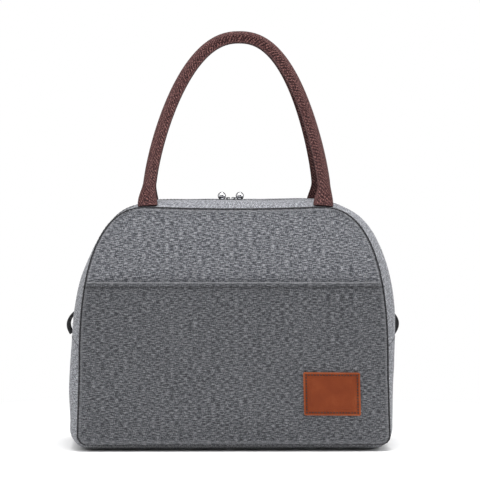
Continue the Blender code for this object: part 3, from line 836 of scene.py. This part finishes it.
def rowAlong(name, paths, tree, kind, look):
    points, edges = [], []
    for path in paths:
        first = len(points)
        points += path
        edges += [(first + i, first + i + 1) for i in range(len(path) - 1)]
    mesh = bpy.data.meshes.new(name)
    mesh.from_pydata(points, edges, [])
    obj = bpy.data.objects.new(name, mesh)
    bpy.context.collection.objects.link(obj)
    row = obj.modifiers.new("row", "NODES")
    row.node_group = tree
    values = dict(zip(("Spacing", "Length", "Width", "Height"), (size * mm for size in grains[kind])))
    values["Material"] = look
    for item in tree.interface.items_tree:
        if item.in_out == "INPUT" and item.name in values:
            row[item.identifier] = values[item.name]
    graph = bpy.context.evaluated_depsgraph_get()
    made = bpy.data.meshes.new_from_object(obj.evaluated_get(graph))
    obj.modifiers.clear()
    obj.data = made
    bpy.data.meshes.remove(mesh)
    made.shade_smooth()
    return obj


print("stitches")


def seamPath(side, shift):
    # the groove between a panel and the gusset, all the way round
    points = []
    for place in spread(0.0, 10.0, 400):
        x, z = outlineAt(seamRuns, place)
        z -= sagAt(x) * onCrown(place)
        points.append(Vector((x, side * (bag["halfDepth"] + shift), z)) * mm)
    return points


for word, side in faces:
    row = rowAlong(word + "SeamStitches", [seamPath(side, 0.7)], stitchTree, "seam", threadLook)
    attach(row, "bag")
    thread = rowAlong(word + "SeamThread", [seamPath(side, 0.0)], stitchTree, "thread", threadLook)
    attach(thread, "bag")

hemLine = top - pocket["hemWidth"]
hemPath = []
for x in spread(-pocket["hemHalf"], pocket["hemHalf"], 200):
    hemPath.append(Vector((x, -(bag["halfDepth"] + pocketOut(x, hemLine) + 0.12), hemLine)) * mm)
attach(rowAlong("pocketHemStitches", [hemPath], stitchTree, "hem", threadLook), "bag")

patchPaths = []
insetX = 1 - patch["inset"] / (patch["wide"] / 2)
insetZ = 1 - patch["inset"] / (patch["high"] / 2)
corners = [(-insetX, -insetZ), (insetX, -insetZ), (insetX, insetZ), (-insetX, insetZ), (-insetX, -insetZ)]
justOut = Vector((0, -0.1, 0)) * mm
for (a0, b0), (a1, b1) in zip(corners, corners[1:]):
    patchPaths.append([patchAt(mix(a0, a1, k), mix(b0, b1, k)) + justOut for k in spread(0.0, 1.0, 20)])
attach(rowAlong("patchStitches", patchPaths, stitchTree, "patch", looks["brownThread"]), "bag")

endDepths = spread(-ringDepth, ringDepth, 60)
for side, sign, turn in sides:
    for word, place in (("End", ends["zip"] + 0.002), ("Bottom", ends["side"] + 0.005)):
        path = [gussetPoint(sign * place, depth) for depth in endDepths]
        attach(rowAlong(side + word + "Seam", [path], stitchTree, "end", threadLook), "bag")
    for word, y in faces:
        label = word + side.capitalize()
        places = [sign * p for p in spread(0.004, ends["zip"] - 0.06, 160)]
        edgePath = [gussetPoint(p, y * (ends["cover"] + 2.2)) for p in places]
        row = rowAlong(label + "EdgeStitches", [edgePath], stitchTree, "edge", threadLook)
        openWithFlap(row)
        teethPath = [gussetPoint(p, y * 1.75, 3.1) for p in places]
        teeth = rowAlong(label + "Teeth", [teethPath], teethTree, "teeth", looks["nylonCoil"])
        openWithFlap(teeth)
        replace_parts(teeth, f"{word}_{side}_zip_teeth", word + "_flap_teeth")


def sweep(name, rings, uvs, look, closed=False, sharp=60.0):
    # joins rings of points, each ring closed, and caps the ends
    count = len(rings[0])
    points = [p for ring in rings for p in ring]
    faces, flats = [], []
    last = len(rings) if closed else len(rings) - 1
    for i in range(last):
        j = (i + 1) % len(rings)
        for k in range(count):
            m = (k + 1) % count
            faces.append((i * count + k, i * count + m, j * count + m, j * count + k))
            along, further = uvs[0][i], uvs[0][i + 1]
            round0, round1 = uvs[1][k], uvs[1][k + 1]
            flats += [(round0, along), (round1, along), (round1, further), (round0, further)]
    if not closed:
        tip = (len(rings) - 1) * count
        faces += [tuple(reversed(range(count))), tuple(range(tip, tip + count))]
        flats += [(0.0, 0.0)] * (2 * count)
    mesh = bpy.data.meshes.new(name)
    mesh.from_pydata(points, [], faces)
    layer = mesh.uv_layers.new(name="flat")
    for slot, uv in zip(layer.data, flats):
        slot.uv = uv
    mesh.materials.append(look)
    mesh.shade_smooth()
    mesh.set_sharp_from_angle(angle=math.radians(sharp))
    obj = bpy.data.objects.new(name, mesh)
    bpy.context.collection.objects.link(obj)
    return obj


handleShape = {
    "halfWidth": 75.7, "reach": 160.4, "power": 1.35, "roundness": 0.44, "toeIn": 2.4, "lean": 26.9,
    "radius": 4.25, "lip": 2.0, "lipThick": 1.0, "lipFrom": 0.3,
    "flare": 19.0, "footHalf": 8.3, "footThick": 1.5, "drift": 3.3, "shift": 1.4, "swing": 1.2,
    "height": 205.6, "out": 1.5, "points": 28, "bendFrom": 2.0, "bendTo": 17.0,
}
rope = {"radius": 2.9, "strand": 0.55, "twist": 0.35, "points": 18, "end": 0.045}


def archPoint(turn):
    # the centre line as (x, reach), turn from 0 at the left foot to 1 at the right one
    h = handleShape
    reach = h["reach"] * math.sin(math.pi * turn)
    rise = reach / h["reach"]
    x = h["halfWidth"] * max(0.0, 1 - rise ** h["power"]) ** h["roundness"] - h["toeIn"] * (1 - rise) ** 8
    x = -x if turn < 0.5 else x
    return Vector((x + h["shift"] + h["swing"] * smooth(reach / 25.0) + h["drift"] * rise**2, reach))


def archInside(turn):
    # the way from the centre line to the inner side of the arch
    step = 0.002
    way = (archPoint(min(1.0, turn + step)) - archPoint(max(0.0, turn - step))).normalized()
    return Vector((way.y, -way.x))


def handleRing(turn):
    h = handleShape
    inside = archInside(turn)
    here = archPoint(turn)
    flare = 1 - smooth((here.y - h["bendFrom"]) / h["flare"])
    here = here - inside * h["out"] * (1 - flare)
    ring = []
    for k in range(h["points"]):
        angle = 2 * math.pi * k / h["points"]
        c, s = math.cos(angle), math.sin(angle)
        # cloth round the rope, drawn to a sewn lip on the inner side
        u = h["radius"] * c
        v = h["radius"] * s
        if c > h["lipFrom"]:
            pull = (c - h["lipFrom"]) / (1 - h["lipFrom"])
            u = mix(u, h["radius"] + h["lip"] - 0.4 * s * s, smooth(pull * 1.5))
            v = math.copysign(mix(abs(v), h["lipThick"], smooth(pull * 2.2)), s) if abs(s) > 1e-6 else 0.0
        # the flat flared foot that is sewn into the seam
        footU = h["footHalf"] * math.copysign(abs(c) ** 0.6, c) if abs(c) > 1e-6 else 0.0
        spot = here + inside * mix(u, footU, flare)
        ring.append((spot.x, mix(v, h["footThick"] * s, flare), spot.y))
    return ring


def ropeRing(turn, index):
    inside = archInside(turn)
    here = archPoint(turn) - inside * handleShape["out"]
    ring = []
    for k in range(rope["points"]):
        angle = 2 * math.pi * k / rope["points"]
        bulge = rope["radius"] + rope["strand"] * abs(math.sin(1.5 * angle + index * rope["twist"]))
        spot = here + inside * bulge * math.cos(angle)
        ring.append((spot.x, bulge * math.sin(angle), spot.y))
    return ring


def handlePlace(point, side):
    # from the handle's own plane to the bag
    lean = math.radians(handleShape["lean"])
    x, y, r = point
    up = r * math.cos(lean) + y * math.sin(lean)
    inner = r * math.sin(lean) - y * math.cos(lean)
    return Vector((x, side * (bag["halfDepth"] - 0.5 - inner), handleShape["height"] + up)) * mm


def placed(ring, side):
    # the rear handle's rings run the other way, so that its faces still point out
    ring = [handlePlace(p, side) for p in ring]
    return ring if side < 0 else list(reversed(ring))


def makeWebbingTube(word, side):
    turns = spread(0.0005, 0.12, 30) + spread(0.12, 0.88, 110)[1:] + spread(0.88, 0.9995, 30)[1:]
    lengths = [0.0]
    for a, b in zip(turns, turns[1:]):
        lengths.append(lengths[-1] + (archPoint(b) - archPoint(a)).length * mm)
    count = handleShape["points"]
    uvs = (lengths, [k / count * 0.036 for k in range(count + 1)])
    rings = [placed(handleRing(turn), side) for turn in turns]
    piece = sweep(word + "Handle", rings, uvs, webbingLook, sharp=75.0)
    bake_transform(piece)
    feet = [f"{word}_{leg}_handle_foot" for leg in ("left", "right")]
    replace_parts(piece, word + "_handle_webbing", *feet)


def makeHandleStitches(word, side):
    inner = handleShape["radius"] + handleShape["lip"] - 2.4 - handleShape["out"]
    line = []
    for turn in spread(0.05, 0.95, 160):
        spot = archPoint(turn) + archInside(turn) * inner
        line.append(handlePlace((spot.x, -1.35, spot.y), side))
    row = rowAlong(word + "HandleStitches", [line], stitchTree, "handle", looks["paleThread"])
    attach(row, word + "_handle")


def makeRopeCore(word, side):
    turns = spread(rope["end"], 1 - rope["end"], 200)
    rings = [placed(ropeRing(turn, index), side) for index, turn in enumerate(turns)]
    count = rope["points"]
    uvs = ([i * 0.002 for i in range(len(turns) + 1)], [k / count * 0.02 for k in range(count + 1)])
    core = sweep(word + "RopeCore", rings, uvs, ropeLook)
    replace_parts(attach(core, word + "_handle"), word + "_handle_rope")


print("handles")
for word, side in faces:
    makeWebbingTube(word, side)
    makeHandleStitches(word, side)
    makeRopeCore(word, side)

binding = {"depth": 12.5, "half": 2.6, "y": 69.6, "thick": 0.9, "points": 12}


def bindingRing(place, side):
    x, z = outlineAt(seamRuns, place)
    before, after = (Vector(outlineAt(seamRuns, place + step)) for step in (-0.02, 0.02))
    way = (after - before).normalized()
    ring = []
    for k in range(binding["points"]):
        angle = 2 * math.pi * k / binding["points"]
        depth = binding["depth"] + binding["half"] * math.cos(angle)
        y = side * binding["y"] + binding["thick"] * math.sin(angle)
        ring.append(Vector((x + way.y * depth, y, z - way.x * depth)) * mm)
    return ring


print("bindings")
for word, side in faces:
    rings = [bindingRing(place, side) for place in spread(0.0, 10.0, 240)[:-1]]
    count = binding["points"]
    uvs = ([i * 0.003 for i in range(len(rings) + 1)], [k / count * 0.014 for k in range(count + 1)])
    piece = sweep(word + "SeamBinding", rings, uvs, bindingLook, closed=True)
    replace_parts(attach(piece, "bag"), word + "_seam_binding")

def lathe(name, profile, axisPoint, axis, look, count=32):
    # turns (along, radius) pairs round an axis
    axis = axis.normalized()
    sideways = axis.orthogonal().normalized()
    other = axis.cross(sideways)
    rings = []
    for along, radius in profile:
        ring = []
        for k in range(count):
            angle = 2 * math.pi * k / count
            spot = sideways * math.cos(angle) + other * math.sin(angle)
            ring.append((axisPoint + axis * along + spot * radius) * mm)
        rings.append(ring)
    uvs = ([i * 0.001 for i in range(len(rings) + 1)], [k * 0.001 for k in range(count + 1)])
    return sweep(name, rings, uvs, look, sharp=40.0)


def softBox(name, low, high, width, look):
    x0, y0, z0 = low
    x1, y1, z1 = high
    points = [Vector((x, y, z)) * mm for x in (x0, x1) for y in (y0, y1) for z in (z0, z1)]
    faces = [(0, 1, 3, 2), (4, 6, 7, 5), (0, 4, 5, 1), (2, 3, 7, 6), (0, 2, 6, 4), (1, 5, 7, 3)]
    mesh = bpy.data.meshes.new(name)
    mesh.from_pydata(points, [], faces)
    mesh.uv_layers.new(name="flat")
    obj = bpy.data.objects.new(name, mesh)
    bpy.context.collection.objects.link(obj)
    bevel = obj.modifiers.new("edges", "BEVEL")
    bevel.width = width * mm
    bevel.segments = 3
    return finishSheet(obj, 0.0, look, 35.0)


slider = {"meet": -1.3, "gap": 0.3, "top": 209.2}
# across from the meeting place, half depth, height from the top plate's face, edge rounding
sliderBoxes = {
    "SliderTop": (0.0, 9.5, 4.5, -0.9, 0.0, 0.35),
    "SliderBase": (0.2, 9.2, 4.2, -4.4, -3.5, 0.3),
    "SliderPost": (6.0, 8.8, 0.5, -3.8, -0.7, 0.1),
    "SliderBridgeInner": (0.35, 0.95, 0.7, -0.2, 2.8, 0.12),
    "SliderBridgeOuter": (2.85, 3.45, 0.7, -0.2, 2.8, 0.12),
    "SliderBridgeTop": (0.35, 3.45, 0.72, 2.1, 2.9, 0.25),
}
pull = {"ball": 3.5, "reach": 7.4, "pinX": 1.9, "pinUp": 1.15, "pinHalf": 2.0, "wire": 0.5, "armHalf": 1.55}


def makeSlider(side, way):
    start = slider["meet"] + way * slider["gap"]
    for name, (x0, x1, half, z0, z1, width) in sliderBoxes.items():
        xs = sorted((start + way * x0, start + way * x1))
        low, high = (xs[0], -half, slider["top"] + z0), (xs[1], half, slider["top"] + z1)
        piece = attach(softBox(side + name, low, high, width, steelLook), side + "_slider_body")
        if name == "SliderTop":
            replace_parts(piece, side + "_slider")


def makePull(side, way):
    start = slider["meet"] + way * slider["gap"]
    pin = Vector((start + way * pull["pinX"], 0.0, slider["top"] + pull["pinUp"]))
    centre = Vector((start + way * pull["reach"], 0.0, slider["top"] + 0.3 + pull["ball"]))
    outline = []
    for i in range(25):
        angle = math.pi * (0.03 + 0.94 * i / 24)
        outline.append((-pull["ball"] * math.cos(angle), pull["ball"] * math.sin(angle)))
    ball = lathe(side + "PullBall", outline, centre, (centre - pin).normalized(), chromeLook)
    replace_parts(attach(ball, side + "_pull_body"), side + "_pull")
    wire, half = pull["wire"], pull["pinHalf"]
    outline = [(-half, 0.3), (0.1 - half, wire), (half - 0.1, wire), (half, 0.3)]
    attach(lathe(side + "PullPin", outline, pin, Vector((0, 1, 0)), steelLook, 12), side + "_pull_body")
    for word, half in (("A", -1), ("B", 1)):
        foot = pin + Vector((0.0, half * pull["armHalf"], 0.0))
        head = centre + Vector((-way * 2.0, half * 1.35, -0.8))
        span = (head - foot).length
        outline = [(-0.4, 0.3), (0.0, wire), (span, wire), (span + 0.3, 0.3)]
        arm = lathe(side + "PullArm" + word, outline, foot, head - foot, steelLook, 12)
        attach(arm, side + "_pull_body")


tab = {"low": ends["zip"] + 0.004, "high": ends["zip"] - 0.106, "half": 10.5, "out": 6.4, "thick": 2.6}


def makeZipTab(side, sign):
    # a short length of webbing folded over the zip's end, fuller at the fold
    def tabAt(a, d):
        place = sign * mix(tab["low"], tab["high"], a)
        rise = tab["out"] * math.sin(math.pi * min(1.0, 0.12 + a * 0.9)) ** 0.8 * (1 - 0.12 * abs(d) ** 4)
        skin = gussetPoint(place, d * tab["half"])
        outward = (skin - gussetPoint(place, d * tab["half"], 1.0)).normalized()
        return skin + outward * (rise + 0.2) * mm

    def tabFlat(a, d):
        return (d * tab["half"] * mm, a * 0.02)

    rows = spread(-1.0, 1.0, 12)
    if sign < 0:
        rows.reverse()
    piece = sheetOf(side + "ZipTab", tabAt, spread(0.0, 1.0, 16), rows, tabFlat, tab["thick"], tapeLook)
    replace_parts(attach(piece, "bag"), side + "_zip_tab")


print("zip hardware")
for side, sign, turn in sides:
    makeSlider(side, sign)
    makePull(side, sign)
    recolour(side + "_zip_stop", chromeLook)
for side, sign, turn in sides:
    makeZipTab(side, sign)

print("studio")
studio = {
    "target": (6.6, 0.0, 175.2), "distance": 3.0, "elevation": 1.5, "azimuth": -1.0, "frameWidth": 0.4123,
    "floor": 0.95, "floorHalf": 6.0, "fadeFrom": 0.16, "fadeTo": 0.55, "fill": 0.8,
}


def makeFloor():
    half = studio["floorHalf"]
    mesh = bpy.data.meshes.new("floor")
    corners = [(-half, -half, 0), (half, -half, 0), (half, half, 0), (-half, half, 0)]
    mesh.from_pydata(corners, [], [(0, 1, 2, 3)])
    floor = bpy.data.objects.new("floor", mesh)
    bpy.context.collection.objects.link(floor)
    look, tree, shader = nodeTree("paleFloor")
    spot = addNode(tree, "ShaderNodeTexCoord").outputs["Object"]
    grain = stretched(tree, spot, (3.0, 3.0, 3.0))
    low, high = (studio["floor"] * 0.99,) * 3, (studio["floor"],) * 3
    link(tree, ramp(tree, grain, [(0.3, low), (0.7, high)]), shader.inputs["Base Color"])
    shader.inputs["Roughness"].default_value = 0.95
    # the floor keeps the shadow near the bag and fades into the white further out
    away = addNode(tree, "ShaderNodeVectorMath", operation="LENGTH")
    link(tree, spot, away.inputs[0])
    fade = addNode(tree, "ShaderNodeMapRange", interpolation_type="SMOOTHSTEP")
    fade.inputs["From Min"].default_value = studio["fadeFrom"]
    fade.inputs["From Max"].default_value = studio["fadeTo"]
    link(tree, away.outputs["Value"], fade.inputs["Value"])
    white = addNode(tree, "ShaderNodeEmission")
    blend = addNode(tree, "ShaderNodeMixShader")
    link(tree, fade.outputs["Result"], blend.inputs["Fac"])
    link(tree, shader.outputs["BSDF"], blend.inputs[1])
    link(tree, white.outputs["Emission"], blend.inputs[2])
    link(tree, blend.outputs["Shader"], tree.nodes["Material Output"].inputs["Surface"])
    mesh.materials.append(look)


def makeWorld():
    world = bpy.data.worlds.new("studio")
    world.use_nodes = True
    bpy.context.scene.world = world
    tree = world.node_tree
    background = tree.nodes["Background"]
    background.inputs["Strength"].default_value = studio["fill"]
    rays = addNode(tree, "ShaderNodeLightPath")
    # a dark band beside the camera gives the chrome something to mirror
    way = addNode(tree, "ShaderNodeSeparateXYZ")
    link(tree, addNode(tree, "ShaderNodeTexCoord").outputs["Generated"], way.inputs["Vector"])
    bright, dim, dark = (1.0, 1.0, 1.0), (0.02, 0.02, 0.02), (0.06, 0.06, 0.07)
    aside = mathNode(tree, "ABSOLUTE", way.outputs["X"], 0.0)
    above = mathNode(tree, "MULTIPLY", way.outputs["Z"], 1.6)
    band = ramp(tree, mathNode(tree, "MAXIMUM", aside, above), [(0.62, dim), (0.74, bright)])
    behind = ramp(tree, way.outputs["Y"], [(0.25, bright), (0.6, dark)])
    both = addNode(tree, "ShaderNodeMix", data_type="RGBA", blend_type="MULTIPLY")
    both.inputs["Factor"].default_value = 1.0
    link(tree, band, both.inputs["A"])
    link(tree, behind, both.inputs["B"])
    shade = addNode(tree, "ShaderNodeMix", data_type="RGBA")
    link(tree, rays.outputs["Is Glossy Ray"], shade.inputs["Factor"])
    shade.inputs["A"].default_value = (1.0, 1.0, 1.0, 1.0)
    link(tree, both.outputs["Result"], shade.inputs["B"])
    link(tree, shade.outputs["Result"], background.inputs["Color"])
    # the camera sees plain white
    seen = addNode(tree, "ShaderNodeBackground", Color=(1.0, 1.0, 1.0, 1.0), Strength=1.0)
    pick = addNode(tree, "ShaderNodeMixShader")
    link(tree, rays.outputs["Is Camera Ray"], pick.inputs["Fac"])
    link(tree, background.outputs["Background"], pick.inputs[1])
    link(tree, seen.outputs["Background"], pick.inputs[2])
    link(tree, pick.outputs["Shader"], tree.nodes["World Output"].inputs["Surface"])


makeFloor()
makeWorld()

# place, width and power of each lamp
lamps = {
    "keyPanel": ((-0.7, -1.2, 1.5), 1.2, 9.0),
    "rightPanel": ((1.5, -0.7, 0.9), 1.0, 5.0),
    "topPanel": ((0.1, -0.25, 1.5), 1.0, 22.0),
}
for name, (place, width, power) in lamps.items():
    light = bpy.data.lights.new(name, "AREA")
    light.size = width
    light.energy = power
    lamp = bpy.data.objects.new(name, light)
    bpy.context.collection.objects.link(lamp)
    lamp.location = place
    lamp.rotation_euler = (Vector((0.0, 0.0, 0.15)) - Vector(place)).to_track_quat("-Z", "Y").to_euler()

camera = bpy.data.objects.new("camera", bpy.data.cameras.new("camera"))
bpy.context.collection.objects.link(camera)
target = Vector(studio["target"]) * mm
tilt, swing = math.radians(studio["elevation"]), math.radians(studio["azimuth"])
back = Vector((math.sin(swing) * math.cos(tilt), -math.cos(swing) * math.cos(tilt), math.sin(tilt)))
camera.location = target + back * studio["distance"]
camera.rotation_euler = (-back).to_track_quat("-Z", "Y").to_euler()
sensor = 36.0
camera.data.sensor_width = sensor
camera.data.lens = sensor * studio["distance"] / studio["frameWidth"]
camera.data.clip_end = 30.0
bpy.context.scene.camera = camera
bpy.context.scene.view_settings.view_transform = "Standard"
